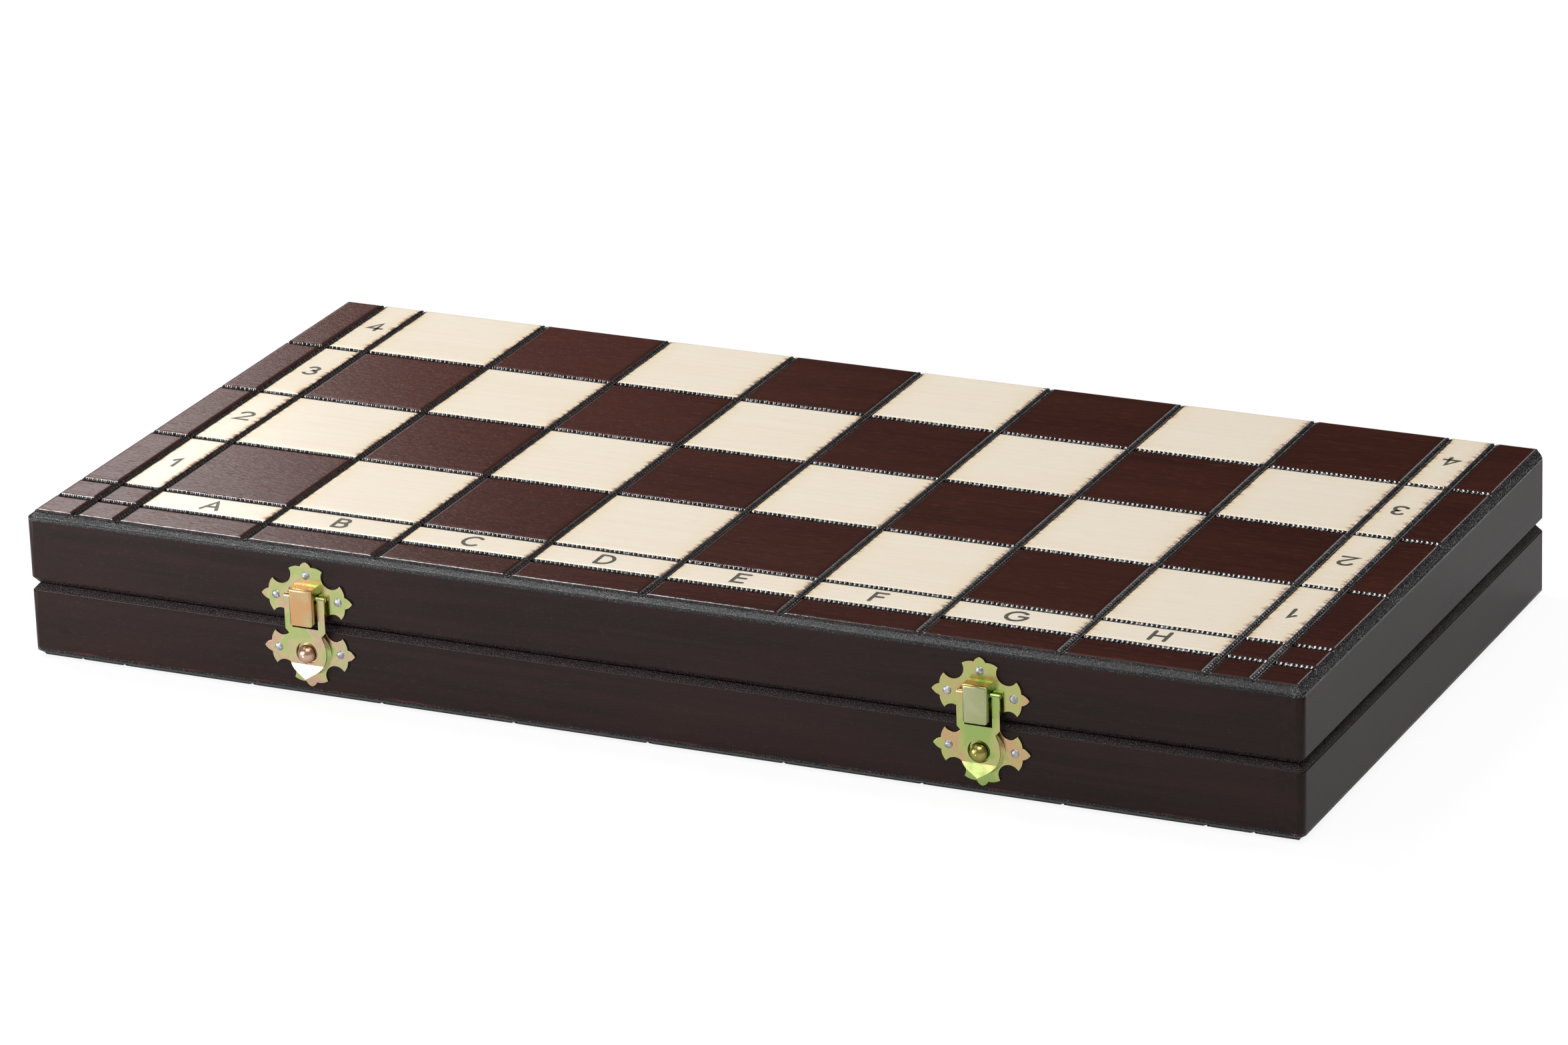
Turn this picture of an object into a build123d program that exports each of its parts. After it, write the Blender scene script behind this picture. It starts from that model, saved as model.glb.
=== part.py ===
from build123d import *
import os

# A folding chess box. Opened flat, its two outer panels make one eight by eight board.
# Frame: X along the long front, from the left side to the right. Y from the front to the hinged back.
# Z up. The origin is the centre of the underside of the closed box.
# The wood and felt of the lid are those of the base, mirrored in the plane where the halves meet.

# --- Board pattern on the outer face of each panel ---
square = 42.5
files = 8
ranks_per_half = 4
strip_width = 14.0  # number and letter strips beside the squares
border_width = 15.25  # from a strip's outer groove to the side of the box
hinge_edge_trim = 2.2  # sawn off the last row of squares, where the two halves part
groove_width = 3.0
groove_depth = 1.2

# --- Wooden shell ---
half_height = 23.0
panel_thickness = 3.0
rail_thickness = 9.0
corner_radius = 2.2  # upright corners of the box, at least as large as the bevels that go round them
panel_bevel = 1.9  # outer edge of a panel, along the front and the two sides
back_edge_break = 0.4  # outer edge of a panel, along the hinged back
rim_bevel = 2.0  # outer edge of each rim, where the halves meet
rim_gap = 0.3  # between the two rims of the closed box
lining_thickness = 1.0
lining_margin = 0.5  # between the felt and the rails

# --- Hinges ---
hinge_spacing = 220.0  # between the middles of the two hinges
hinge_length = 30.0
hinge_sheet = 0.8
leaf_width = 7.6  # from the hinge axis to the leaf's inner edge
leaf_corner_radius = 1.0
knuckle_count = 5  # the base leaf has every other one, from the first to the last
knuckle_radius = 1.6
knuckle_gap = 0.3  # between neighbouring knuckles
pin_radius = 0.8
pin_clearance = 0.05
barrel_clearance = 0.3  # round the knuckles, to the wood and to the other leaf
mortise_clearance = 0.1
hinge_nails_per_leaf = 3
hinge_nail_end_inset = 5.0  # from the leaf's ends to its outer nails
hinge_nail_inset = 2.9  # from the leaf's inner edge to its row of nails

# --- Nails: many and small, so they and their holes are cut with a few flats instead of round ---
nail_sides = 12
nail_shank_radius = 0.6
nail_length = 7.0
nail_clearance = 0.05
hinge_nail_head_radius = 1.15
hinge_nail_head_rim = 0.1  # the straight edge of the head, above its countersunk cone
latch_nail_head_radius = 1.3
latch_nail_head_height = 0.6
latch_nail_head_bevel = 0.4

# --- Latches: distances across the plates are from the middle of their two side arms ---
left_latch_x = -106.5
right_latch_x = 104.3
latch_arm_height = 8.1  # from the plane where the halves meet to the side arms of a plate
plate_sheet = 0.6
plate_straight_edge = 6.0
plate_straight_half = 5.8
plate_inner_notch_depth = 1.7
plate_outer_notch_depth = 3.2
side_arm_corner = 10.9
side_arm_half_width = 5.1
side_arm_shoulder = 12.3
side_arm_tip = 14.7
end_arm_corner = 8.75
end_arm_half_width = 5.4
end_arm_shoulder = 9.65
end_arm_tip = 11.1
arm_shoulder_half = 1.75
arm_flank_bulge = 0.35
arm_tip_bulge = 0.28
side_nail_offset = 10.05
end_nail_offset = 7.0

# --- Latch housing, pressed out of the upper plate ---
housing_width = 7.4
housing_top = 4.2
housing_bottom = 7.0
housing_height = 5.0  # from the wood to its front
housing_edge_radius = 0.8

# --- Hasp: a flat shield with a window round the housing, hung on its rolled top edge ---
hasp_sheet = 0.6
hasp_roll_radius = 0.85
hasp_roll_arc = 255.0
hasp_roll_rise = 0.6  # the roll's axis above the upper plate's side arms
hasp_roll_clearance = 0.25  # to the upper plate behind it
hasp_notch_clearance = 0.3  # round the roll, in the housing's side walls
hasp_half_width = 6.5
hasp_window_half = 4.2
hasp_window_sill = 7.6  # the window's lower edge above the ring's middle
hasp_shoulder = 6.9  # where the straight arms end, above the ring's middle
hasp_neck_half = 5.1
hasp_neck = 5.4
hasp_ring_half = 6.4
hasp_ring_bulge = 0.35
hasp_flank_half = 3.4
hasp_flank = 5.6
hasp_flank_bulge = 0.75
hasp_tip = 7.6
hasp_hole_radius = 3.4
tongue_bend = 3.7  # below the ring's middle
tongue_angle = 23.0

# --- Knob and the raised boss of the lower plate that carries it ---
knob_radius = 2.8
knob_centre_height = 2.1  # from the wood
knob_drop = 0.3  # below the middle of the side arms
knob_neck_radius = 1.5
knob_tail_radius = 2.2
knob_tail_height = 0.5
knob_neck_clearance = 0.05
boss_base_radius = 7.0
boss_top_radius = 6.2
boss_height = 0.95  # above the plate's face, and the depth of the hollow behind it

# --- Worked out from the sizes above ---
length = files * square + 2 * (strip_width + border_width)
depth = ranks_per_half * square - hinge_edge_trim + strip_width + border_width
inner_length = length - 2 * rail_thickness
inner_depth = depth - 2 * rail_thickness
front_y = -depth / 2
back_y = depth / 2
rim_z = half_height - rim_gap / 2
axis_y = back_y + rim_gap / 2
mating_plane = Plane.XY.offset(half_height)

side_files = [-files / 2 * square - strip_width, files / 2 * square + strip_width]
file_lines = [(line - files / 2) * square for line in range(files + 1)]
long_groove_x = sorted(side_files + file_lines)
rank_lines = [front_y + border_width + strip_width + line * square for line in range(ranks_per_half)]
cross_groove_y = [front_y + border_width] + rank_lines

hinge_x = {"left": -hinge_spacing / 2, "right": hinge_spacing / 2}
knuckle_pitch = hinge_length / knuckle_count
bore_radius = pin_radius + pin_clearance
leaf_inner_y = axis_y - leaf_width
hinge_nail_y = leaf_inner_y + hinge_nail_inset
hinge_nail_spacing = (hinge_length - 2 * hinge_nail_end_inset) / (hinge_nails_per_leaf - 1)
hinge_nail_cone = hinge_nail_head_radius - nail_shank_radius

latch_x = {"left": left_latch_x, "right": right_latch_x}
nail_hole_radius = nail_shank_radius + nail_clearance
side_nail_points = [(-side_nail_offset, 0), (side_nail_offset, 0)]
latch_nail_points = {"base": side_nail_points, "lid": side_nail_points + [(0, end_nail_offset)]}

roll_axis_z = half_height + latch_arm_height + hasp_roll_rise
roll_axis_height = plate_sheet + hasp_roll_clearance + hasp_roll_radius
hasp_face_height = roll_axis_height + hasp_roll_radius
ring_z = half_height - latch_arm_height
knob_z = ring_z - knob_drop
boss_top = plate_sheet + boss_height


def save(piece, name):
    """Label a finished piece and write it to its own file."""
    piece.part.label = name
    export_step(piece.part, f"parts/{name}.step")


def turn_to(half):
    """Mirror the base's piece in the mating plane where the lid's twin is wanted."""
    if half == "lid":
        mirror(about=mating_plane, mode=Mode.REPLACE)


def latch_plane(x, half):
    """A plane on the front face at the middle of a plate's side arms. Its Y runs away from the other half."""
    if half == "lid":
        return Plane((x, front_y, half_height + latch_arm_height), x_dir=(1, 0, 0), z_dir=(0, -1, 0))
    return Plane((x, front_y, half_height - latch_arm_height), x_dir=(-1, 0, 0), z_dir=(0, -1, 0))


def outward_plane(x, z):
    """An upright plane across the front face. Its X runs straight out of the wood and its Y runs up."""
    return Plane((x, front_y, z), x_dir=(0, -1, 0), z_dir=(-1, 0, 0))


def knob_plane(x):
    """A level plane through a knob. Its X runs along the front and its Y runs straight out of the wood."""
    return Plane((x, front_y, knob_z), x_dir=(1, 0, 0), z_dir=(0, 0, -1))


def hinge_plane(x):
    """An upright plane across a hinge with its origin on the hinge axis. Its X runs back and its Y runs up."""
    return Plane((x, axis_y, half_height), x_dir=(0, 1, 0), z_dir=(1, 0, 0))


# --- Wooden shell ---


def make_panel(half):
    """A board with bevelled outer edges and V grooves between the squares, strips and border."""
    spare = 2 * panel_bevel + corner_radius
    with BuildPart() as panel:
        with BuildSketch(Plane.XY.shift_origin((0, spare / 2, 0))):
            RectangleRounded(length, depth + spare, corner_radius)
        extrude(amount=panel_thickness)
        chamfer(panel.edges().group_by(Axis.Z)[0], panel_bevel)
        split(bisect_by=Plane.XZ.offset(-back_y), keep=Keep.TOP)
        back_edge = panel.edges().filter_by(Axis.X).group_by(Axis.Y)[-1].sort_by(Axis.Z)[0]
        chamfer(back_edge, back_edge_break)
        with BuildSketch():
            RectangleRounded(length, depth, corner_radius)
        extrude(amount=panel_thickness, mode=Mode.INTERSECT)
        groove = [(-groove_width / 2, 0), (groove_width / 2, 0), (0, groove_depth)]
        with BuildSketch(Plane.XZ):
            with Locations(*[(x, 0) for x in long_groove_x]):
                Polygon(*groove, align=None)
        extrude(amount=depth, both=True, mode=Mode.SUBTRACT)
        with BuildSketch(Plane.YZ):
            with Locations(*[(y, 0) for y in cross_groove_y]):
                Polygon(*groove, align=None)
        extrude(amount=length, both=True, mode=Mode.SUBTRACT)
        turn_to(half)
    save(panel, f"{half}_panel")


def mitre_outline(side):
    """The wedge of the frame that belongs to one rail, cut off at 45 degrees at both corners."""
    reach = 2 * rail_thickness
    x, y = length / 2, depth / 2
    outlines = {
        "front": [(-x, -y), (x, -y), (x - reach, reach - y), (reach - x, reach - y)],
        "back": [(x, y), (-x, y), (reach - x, y - reach), (x - reach, y - reach)],
        "left": [(-x, y), (-x, -y), (reach - x, reach - y), (reach - x, y - reach)],
        "right": [(x, -y), (x, y), (x - reach, y - reach), (x - reach, reach - y)],
    }
    return outlines[side]


def latch_nail_drill(half):
    """What the nails of the latch plates take out of the front rail."""
    with BuildPart() as drill:
        for x in latch_x.values():
            with BuildSketch(latch_plane(x, "base")):
                with Locations(*latch_nail_points[half]):
                    RegularPolygon(nail_hole_radius, nail_sides)
        extrude(amount=plate_sheet - nail_length - nail_clearance)
    return drill.part


def countersunk_nails(x, clearance=0):
    """The row of nails of one leaf or, with a clearance, what they take out of the leaf and the wood."""
    rim = Plane((x, hinge_nail_y, rim_z))
    with BuildPart() as nails:
        with BuildSketch(rim):
            with GridLocations(hinge_nail_spacing, 0, hinge_nails_per_leaf, 1):
                RegularPolygon(hinge_nail_head_radius + clearance, nail_sides)
        extrude(amount=-hinge_nail_head_rim - hinge_nail_cone)
        chamfer(nails.edges().group_by(Axis.Z)[0], hinge_nail_cone)
        with BuildSketch(rim):
            with GridLocations(hinge_nail_spacing, 0, hinge_nails_per_leaf, 1):
                RegularPolygon(nail_shank_radius + clearance, nail_sides)
        extrude(amount=-nail_length - clearance)
    return nails.part


def hinge_seat(x):
    """What a hinge takes out of the back rail: a mortise under its leaf, a cove and the nail holes."""
    mortise_length = hinge_length + 2 * mortise_clearance
    mortise_inner_y = leaf_inner_y - mortise_clearance
    with BuildPart() as seat:
        with BuildSketch(Plane((x, mortise_inner_y, rim_z - hinge_sheet))):
            Rectangle(mortise_length, axis_y - mortise_inner_y, align=(Align.CENTER, Align.MIN))
        extrude(amount=rim_gap + hinge_sheet)
        with BuildSketch(hinge_plane(x)):
            Circle(knuckle_radius + barrel_clearance)
        extrude(amount=mortise_length / 2, both=True)
        add(countersunk_nails(x, nail_clearance))
    return seat.part


def make_rail(half, side):
    """One mitred side of a frame, bevelled along its rim."""
    with BuildPart() as rail:
        with BuildSketch(Plane.XY.offset(panel_thickness)):
            RectangleRounded(length, depth, corner_radius)
        extrude(amount=rim_z - panel_thickness)
        chamfer(rail.edges().group_by(Axis.Z)[-1], rim_bevel)
        with BuildSketch(Plane.XY.offset(panel_thickness)):
            Rectangle(inner_length, inner_depth)
        extrude(amount=rim_z - panel_thickness, mode=Mode.SUBTRACT)
        with BuildSketch(Plane.XY.offset(panel_thickness)):
            Polygon(*mitre_outline(side), align=None)
        extrude(amount=rim_z - panel_thickness, mode=Mode.INTERSECT)
        if side == "front":
            add(latch_nail_drill(half), mode=Mode.SUBTRACT)
        if side == "back":
            add([hinge_seat(x) for x in hinge_x.values()], mode=Mode.SUBTRACT)
        turn_to(half)
    save(rail, f"{half}_{side}_rail")


def make_lining(half):
    """A sheet of felt glued to the inner face of a panel."""
    with BuildPart() as lining:
        with BuildSketch(Plane.XY.offset(panel_thickness)):
            Rectangle(inner_length - 2 * lining_margin, inner_depth - 2 * lining_margin)
        extrude(amount=lining_thickness)
        turn_to(half)
    save(lining, f"{half}_lining")


# --- Hinges ---


def make_leaf(half, side):
    """A hinge leaf: a flat let into the rim, rolled into knuckles, with countersunk nail holes."""
    x = hinge_x[side]
    first_gap = 1 if half == "base" else 0
    gap_inner = knuckle_radius + barrel_clearance
    with BuildPart() as leaf:
        with BuildSketch(hinge_plane(x)):
            Circle(knuckle_radius)
            with Locations((-leaf_width, -rim_gap / 2 - hinge_sheet)):
                Rectangle(leaf_width, hinge_sheet, align=(Align.MIN, Align.MIN))
            Circle(bore_radius, mode=Mode.SUBTRACT)
        extrude(amount=hinge_length / 2, both=True)
        inner_corners = leaf.edges().filter_by(Axis.Z).group_by(Axis.Y)[0]
        fillet(inner_corners, leaf_corner_radius)
        for knuckle in range(first_gap, knuckle_count, 2):
            middle = x - hinge_length / 2 + (knuckle + 0.5) * knuckle_pitch
            with BuildSketch(Plane((middle, axis_y, half_height))):
                Rectangle(knuckle_pitch + knuckle_gap, 2 * gap_inner)
            extrude(amount=2 * knuckle_radius, both=True, mode=Mode.SUBTRACT)
        add(countersunk_nails(x, nail_clearance), mode=Mode.SUBTRACT)
        turn_to(half)
    save(leaf, f"{side}_hinge_{half}_leaf")


def make_pin(side):
    """The straight pin that both leaves turn on."""
    with BuildPart() as pin:
        with BuildSketch(hinge_plane(hinge_x[side])):
            Circle(pin_radius)
        extrude(amount=hinge_length / 2, both=True)
    save(pin, f"{side}_hinge_pin")


def make_hinge_nails(half):
    """The nails of both hinges on one half, flush with the leaves."""
    with BuildPart() as nails:
        for x in hinge_x.values():
            add(countersunk_nails(x))
        turn_to(half)
    save(nails, f"{half}_hinge_nails")


# --- Latches ---


def plate_outline(half):
    """A latch plate laid flat: a straight inner end, two side arms, an end arm and its nail holes."""
    inner_corner = (plate_straight_half, -plate_straight_edge)
    low_corner = (side_arm_corner, -side_arm_half_width)
    low_shoulder = (side_arm_shoulder, -arm_shoulder_half)
    side_tip = (side_arm_tip, 0)
    high_shoulder = (side_arm_shoulder, arm_shoulder_half)
    high_corner = (side_arm_corner, side_arm_half_width)
    end_corner = (end_arm_half_width, end_arm_corner)
    end_shoulder = (arm_shoulder_half, end_arm_shoulder)
    with BuildSketch() as plate:
        with BuildLine():
            Line((0, -plate_straight_edge), inner_corner)
            SagittaArc(inner_corner, low_corner, plate_inner_notch_depth)
            SagittaArc(low_corner, low_shoulder, -arm_flank_bulge)
            SagittaArc(low_shoulder, side_tip, -arm_tip_bulge)
            SagittaArc(side_tip, high_shoulder, -arm_tip_bulge)
            SagittaArc(high_shoulder, high_corner, -arm_flank_bulge)
            SagittaArc(high_corner, end_corner, plate_outer_notch_depth)
            SagittaArc(end_corner, end_shoulder, -arm_flank_bulge)
            SagittaArc(end_shoulder, (0, end_arm_tip), -arm_tip_bulge)
            mirror(about=Plane.YZ)
        make_face()
        with Locations(*latch_nail_points[half]):
            RegularPolygon(nail_hole_radius, nail_sides, mode=Mode.SUBTRACT)
    return plate.sketch


def make_upper_plate(side):
    """The lid's plate, with a housing pressed out of it that is open below and notched for the hasp."""
    face = latch_plane(latch_x[side], "lid")
    wall_middle = (housing_top - housing_bottom) / 2
    wall_height = housing_top + housing_bottom
    notch_half = hasp_roll_radius + hasp_notch_clearance
    with BuildPart() as plate:
        with BuildSketch(face):
            add(plate_outline("lid"))
        extrude(amount=plate_sheet)
        with BuildSketch(face):
            with Locations((0, wall_middle)):
                Rectangle(housing_width, wall_height)
        extrude(amount=housing_height)
        front = plate.faces().sort_by(Axis.Y)[0]
        rounded = front.edges().sort_by(Axis.Z)[1:]
        uprights = plate.edges().filter_by(Axis.Y).group_by(SortBy.LENGTH)[-1].sort_by(Axis.Z)[-2:]
        fillet(rounded + uprights, housing_edge_radius)
        with BuildSketch(face):
            with Locations((0, wall_middle - plate_sheet)):
                Rectangle(housing_width - 2 * plate_sheet, wall_height)
        extrude(amount=housing_height - plate_sheet, mode=Mode.SUBTRACT)
        with BuildSketch(outward_plane(latch_x[side], roll_axis_z)):
            with Locations((plate_sheet, 0)):
                notch_depth = roll_axis_height + notch_half - plate_sheet
                Rectangle(notch_depth, 2 * notch_half, align=(Align.MIN, Align.CENTER))
        extrude(amount=housing_width, both=True, mode=Mode.SUBTRACT)
    save(plate, f"{side}_latch_upper_plate")


def make_lower_plate(side):
    """The base's plate, with a hollow boss pressed out of it for the knob to stand on."""
    x = latch_x[side]
    knob_axis = Axis((x, front_y, knob_z), (0, 1, 0))
    with BuildPart() as plate:
        with BuildSketch(latch_plane(x, "base")):
            add(plate_outline("base"))
        extrude(amount=plate_sheet)
        with BuildSketch(knob_plane(x)):
            Polygon(
                (0, 0),
                (boss_base_radius, 0),
                (boss_base_radius, plate_sheet),
                (boss_top_radius, boss_top),
                (0, boss_top),
                align=None,
            )
        revolve(axis=knob_axis)
        boss_back = Plane(knob_plane(x).origin, x_dir=(1, 0, 0), z_dir=(0, -1, 0))
        with BuildSketch(boss_back):
            Circle(boss_top_radius - plate_sheet)
        extrude(amount=boss_height, mode=Mode.SUBTRACT)
        with BuildSketch(boss_back):
            Circle(knob_neck_radius + knob_neck_clearance)
        extrude(amount=boss_top, mode=Mode.SUBTRACT)
    save(plate, f"{side}_latch_lower_plate")


def make_knob(side):
    """A ball headed rivet: the ball on the boss, its neck in the boss and its tail inside."""
    x = latch_x[side]
    foot_radius = (knob_radius**2 - (knob_centre_height - boss_top) ** 2) ** 0.5
    tail_top = boss_height - knob_neck_clearance
    tail_bottom = tail_top - knob_tail_height
    ball_top = (0, knob_centre_height + knob_radius)
    with BuildPart() as knob:
        with BuildSketch(knob_plane(x)):
            with BuildLine():
                rivet = Polyline(
                    ball_top,
                    (0, tail_bottom),
                    (knob_tail_radius, tail_bottom),
                    (knob_tail_radius, tail_top),
                    (knob_neck_radius, tail_top),
                    (knob_neck_radius, boss_top),
                    (foot_radius, boss_top),
                )
                ThreePointArc(rivet @ 1, (knob_radius, knob_centre_height), ball_top)
            make_face()
        revolve(axis=Axis((x, front_y, knob_z), (0, 1, 0)))
    save(knob, f"{side}_latch_knob")


def hasp_outline():
    """The hasp laid flat, from its top edge to the point of its tongue, with its window and ring hole."""
    roll_height = roll_axis_z - ring_z
    ring = (hasp_ring_half, 0)
    flank = (hasp_flank_half, -hasp_flank)
    with BuildSketch() as hasp:
        with BuildLine():
            arm = Polyline(
                (0, roll_height),
                (hasp_half_width, roll_height),
                (hasp_half_width, hasp_shoulder),
                (hasp_neck_half, hasp_neck),
            )
            SagittaArc(arm @ 1, ring, hasp_ring_bulge)
            SagittaArc(ring, flank, hasp_flank_bulge)
            Line(flank, (0, -hasp_tip))
            mirror(about=Plane.YZ)
        make_face()
        Circle(hasp_hole_radius, mode=Mode.SUBTRACT)
        with Locations((0, hasp_window_sill)):
            Rectangle(
                2 * hasp_window_half,
                roll_height - hasp_window_sill,
                align=(Align.CENTER, Align.MIN),
                mode=Mode.SUBTRACT,
            )
    return hasp.sketch


def make_hasp(side):
    """A sheet shield: straight down from its roll, bent out at the tongue, with a window and a ring hole."""
    x = latch_x[side]
    sheet_middle = hasp_face_height - hasp_sheet / 2
    roll_middle = hasp_roll_radius - hasp_sheet / 2
    tongue_reach = 2 * hasp_tip
    with BuildPart() as hasp:
        with BuildSketch(outward_plane(x, ring_z)):
            with BuildLine():
                sheet = Line((sheet_middle, roll_axis_z - ring_z), (sheet_middle, -tongue_bend))
                PolarLine(sheet @ 1, tongue_reach, tongue_angle - 90)
            trace(line_width=hasp_sheet)
        extrude(amount=hasp_half_width, both=True)
        with BuildSketch(Plane((x, front_y, ring_z), x_dir=(1, 0, 0), z_dir=(0, -1, 0))):
            add(hasp_outline())
        extrude(amount=hasp_face_height + tongue_reach, mode=Mode.INTERSECT)
        with BuildSketch(outward_plane(x, roll_axis_z)):
            with BuildLine():
                CenterArc((roll_axis_height, 0), roll_middle, 0, hasp_roll_arc)
            trace(line_width=hasp_sheet)
        extrude(amount=hasp_half_width, both=True)
    save(hasp, f"{side}_latch_hasp")


def make_latch_nails(half):
    """Low headed nails through the plates of both latches on one half."""
    with BuildPart() as nails:
        for x in latch_x.values():
            plate_face = latch_plane(x, half).offset(plate_sheet)
            with BuildSketch(plate_face):
                with Locations(*latch_nail_points[half]):
                    RegularPolygon(latch_nail_head_radius, nail_sides)
            extrude(amount=latch_nail_head_height)
            chamfer(nails.edges(Select.LAST).group_by(Axis.Y)[0], latch_nail_head_bevel)
            with BuildSketch(plate_face):
                with Locations(*latch_nail_points[half]):
                    RegularPolygon(nail_shank_radius, nail_sides)
            extrude(amount=-nail_length)
    save(nails, f"{half}_latch_nails")


os.makedirs("parts", exist_ok=True)
for half in ("base", "lid"):
    make_panel(half)
    for side in ("front", "back", "left", "right"):
        make_rail(half, side)
    make_lining(half)
    make_hinge_nails(half)
    make_latch_nails(half)
for side in ("left", "right"):
    for half in ("base", "lid"):
        make_leaf(half, side)
    make_pin(side)
    make_upper_plate(side)
    make_lower_plate(side)
    make_knob(side)
    make_hasp(side)
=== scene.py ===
import math
import random

import bmesh
import bpy
from mathutils import Matrix, Vector


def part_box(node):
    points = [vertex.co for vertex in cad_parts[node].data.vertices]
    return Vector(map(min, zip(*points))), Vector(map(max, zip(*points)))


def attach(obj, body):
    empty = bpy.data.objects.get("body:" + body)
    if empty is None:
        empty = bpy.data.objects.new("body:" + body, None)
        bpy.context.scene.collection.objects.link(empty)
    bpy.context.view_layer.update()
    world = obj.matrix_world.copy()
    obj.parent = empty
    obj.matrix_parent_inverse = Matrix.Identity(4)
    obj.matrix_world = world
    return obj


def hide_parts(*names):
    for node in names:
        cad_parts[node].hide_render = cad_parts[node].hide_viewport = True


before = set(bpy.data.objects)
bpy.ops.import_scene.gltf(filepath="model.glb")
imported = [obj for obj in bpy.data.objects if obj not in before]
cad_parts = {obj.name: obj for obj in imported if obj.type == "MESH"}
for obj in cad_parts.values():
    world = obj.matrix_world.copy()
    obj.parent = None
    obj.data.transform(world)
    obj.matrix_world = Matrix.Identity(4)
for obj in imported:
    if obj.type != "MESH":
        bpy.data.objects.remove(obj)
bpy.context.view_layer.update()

# A folding chess box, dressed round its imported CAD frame. Metres; X along the front, Y back, Z up.

mm = 0.001

# --- Board pattern, as on both outer panels ---
square = 42.5 * mm
files = 8
ranks_per_half = 4
strip_width = 14 * mm
border_width = 15.25 * mm

# --- The box, from its packed panel ---
panel_low, panel_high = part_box("lid_panel")
half_length = panel_high.x
front_y = panel_low.y
back_y = panel_high.y
lid_top = panel_high.z
panel_thickness = panel_high.z - panel_low.z
rail_thickness = 9 * mm
corner_radius = 2.2 * mm
rim_bevel = 2 * mm

# --- Where the grooves run ---
board_half = files / 2 * square
side_line = board_half + strip_width
letter_line = front_y + border_width
first_rank_y = letter_line + strip_width
long_grooves = [-side_line] + [(n - files / 2) * square for n in range(files + 1)] + [side_line]
cross_grooves = [letter_line] + [first_rank_y + n * square for n in range(ranks_per_half)]
groove_half = 1.25 * mm
groove_depth = 1 * mm
groove_paint_half = 1.05 * mm
tint_seed = 3.7  # picks which squares are stained deeper

# --- Sections of the board's surface: (distance, depth below the outer face), in mm ---
groove_section = [
    (0, 1.0), (0.82, 0.4), (1.0, 0.29), (1.3, 0.14), (1.55, 0.05), (1.85, 0.01), (2.15, 0), (2.7, 0),
]
bevel_width = 3.6
bevel_section = [
    (bevel_width, 0), (3.0, 0), (2.7, 0.05), (2.3, 0.25), (2.16, 0.5), (2.0, 0.78), (1.76, 0.97),
    (1.3, 1.3), (0.8, 1.66), (0.42, 1.93), (0.14, 2.08), (0.03, 2.25), (0, 2.45), (0, 2.7), (0, 3),
]
back_section = [(1.6, 0), (0.8, 0), (0.4, 0.07), (0.12, 0.28), (0, 0.6), (0, 3)]
routed_depth = 0.05  # what lies deeper in a bevel is torn, in mm

# --- Marks that the knurled wheel left in the grooves ---
tooth_pitch = 1.5 * mm
tooth_steps = 5
tooth_height = 0.46 * mm
tooth_slant = 0.5
tooth_walls = [(-1, 0), (-1, 0.5), (0, 1), (1, 0.5), (1, 0)]  # side, and how far down the groove
swell_shares = {0: 0.25, 0.5: 1.0, 1: 0.3}  # of the tooth's height, by how far down
marks_lift = 0.03 * mm  # of the marks over the groove's walls
marks_inset = 1.7 * mm  # from the side of the box
marks_back_gap = 0.1 * mm
crossing_gap = 0.15 * mm  # of a cross mark under the long groove that breaks it

# --- Letters and numbers ---
glyph_height = 6.2 * mm
glyph_stroke = 1.2 * mm
glyph_relief = 0.03 * mm
glyph_root = 0.02 * mm  # how far a character reaches into the board
stroke_lift = 0.006 * mm  # of each further stroke, so that no two lie in one plane
cap_steps = 6

# --- Felt ---
felt_columns = 96
felt_rows = 48
felt_edge_drop = 0.35 * mm
felt_nap_drop = 0.07 * mm
felt_ripple = 0.06 * mm

# --- Nails: heads as (radius, height above the plate), all in mm ---
latch_head = [(0, 0.7), (0.55, 0.64), (0.95, 0.48), (1.2, 0.25), (1.3, 0.08), (1.25, 0)]
hinge_head = [(0, 0), (0.9, -0.02), (1.12, -0.06), (1.15, -0.12), (0.62, -0.64)]
nail_shank = 0.6
nail_point = 1.2
nail_point_radius = 0.05
nail_sides = 20
nail_lean = 0.05  # radians

# --- Soft edges of the CAD nodes ---
rail_edge = 0.4 * mm
hinge_edge = 0.1 * mm
latch_edge = 0.09 * mm
knob_edge = 0.05 * mm


# ------------------------------------------------------------------ materials


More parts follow.
